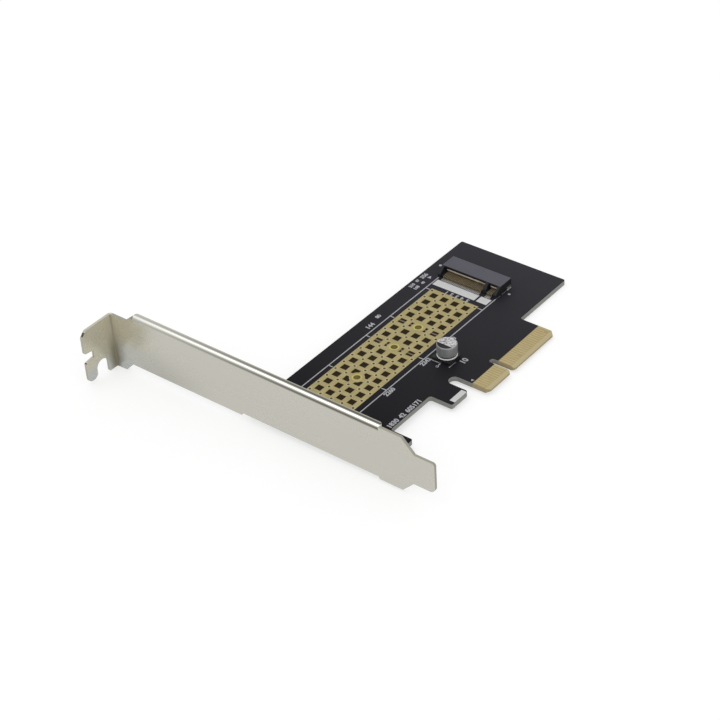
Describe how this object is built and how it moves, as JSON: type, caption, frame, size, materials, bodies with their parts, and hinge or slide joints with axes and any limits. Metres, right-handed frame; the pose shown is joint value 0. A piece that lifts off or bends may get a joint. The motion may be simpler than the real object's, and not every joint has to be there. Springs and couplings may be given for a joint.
{
  "type": "nvme adapter card",
  "caption": "Flat black expansion card with gold edge fingers, a drive socket, a bare cooling land, a capacitor and a folded steel bracket.",
  "frame": {"origin": "middle of the key notch on the lower edge of the gold fingers, halfway through the board", "axes": "+X from the bracket to the free end of the card, +Y from the gold fingers up to the bracket's tab, +Z out of the component side"},
  "size_m": [0.1179, 0.1201, 0.0217],
  "materials": {
    "laminate": "satin black solder mask on glass-fibre laminate",
    "gold_land": "immersion gold, dull",
    "gold_finger": "hard gold plating",
    "nickel_sheet": "bright nickel plating",
    "screw_steel": "nickel plated",
    "socket_plastic": "moulded, satin",
    "contact_gold": "gold-flashed spring contact",
    "tin": "tin plated",
    "can_aluminium": "drawn can, satin",
    "base_plastic": "moulded"
  },
  "bodies": {
    "root": {"board": "laminate", "thermal_land": "gold_land", "standoff_lands": "gold_land", "bracket_lands": "gold_land", "front_fingers": "gold_finger", "back_fingers": "gold_finger", "bracket": "nickel_sheet", "bracket_screws": "screw_steel", "socket_housing": "socket_plastic", "socket_lower_contacts": "contact_gold", "socket_upper_contacts": "contact_gold", "socket_hold_downs": "tin", "capacitor_can": "can_aluminium", "capacitor_base": "base_plastic", "capacitor_leads": "tin"}
  },
  "joints": []
}
